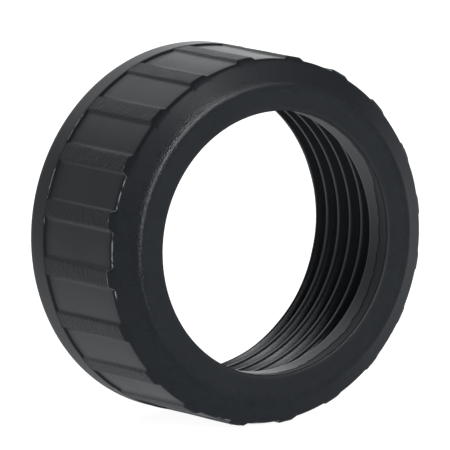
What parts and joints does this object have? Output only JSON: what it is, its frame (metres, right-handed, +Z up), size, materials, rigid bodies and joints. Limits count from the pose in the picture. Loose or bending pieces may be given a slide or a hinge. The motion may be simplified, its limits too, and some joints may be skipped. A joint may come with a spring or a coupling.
{
  "type": "pipe union nut",
  "caption": "Ribbed plastic union nut with a coarse internal thread, a plain bore through an inward lip at the front, and a smooth full-round rim at the back.",
  "frame": {"origin": "on the nut's axis, halfway between its front and back faces", "axes": "+Y along the axis towards the threaded mouth at the back, front face with the plain bore towards -Y, +Z up with the nut standing on its rim"},
  "size_m": [0.0884, 0.039, 0.0884],
  "materials": {
    "pvc_u": "satin injection-moulded PVC-U, anthracite grey"
  },
  "bodies": {
    "root": {"union_nut": "pvc_u"}
  },
  "joints": []
}
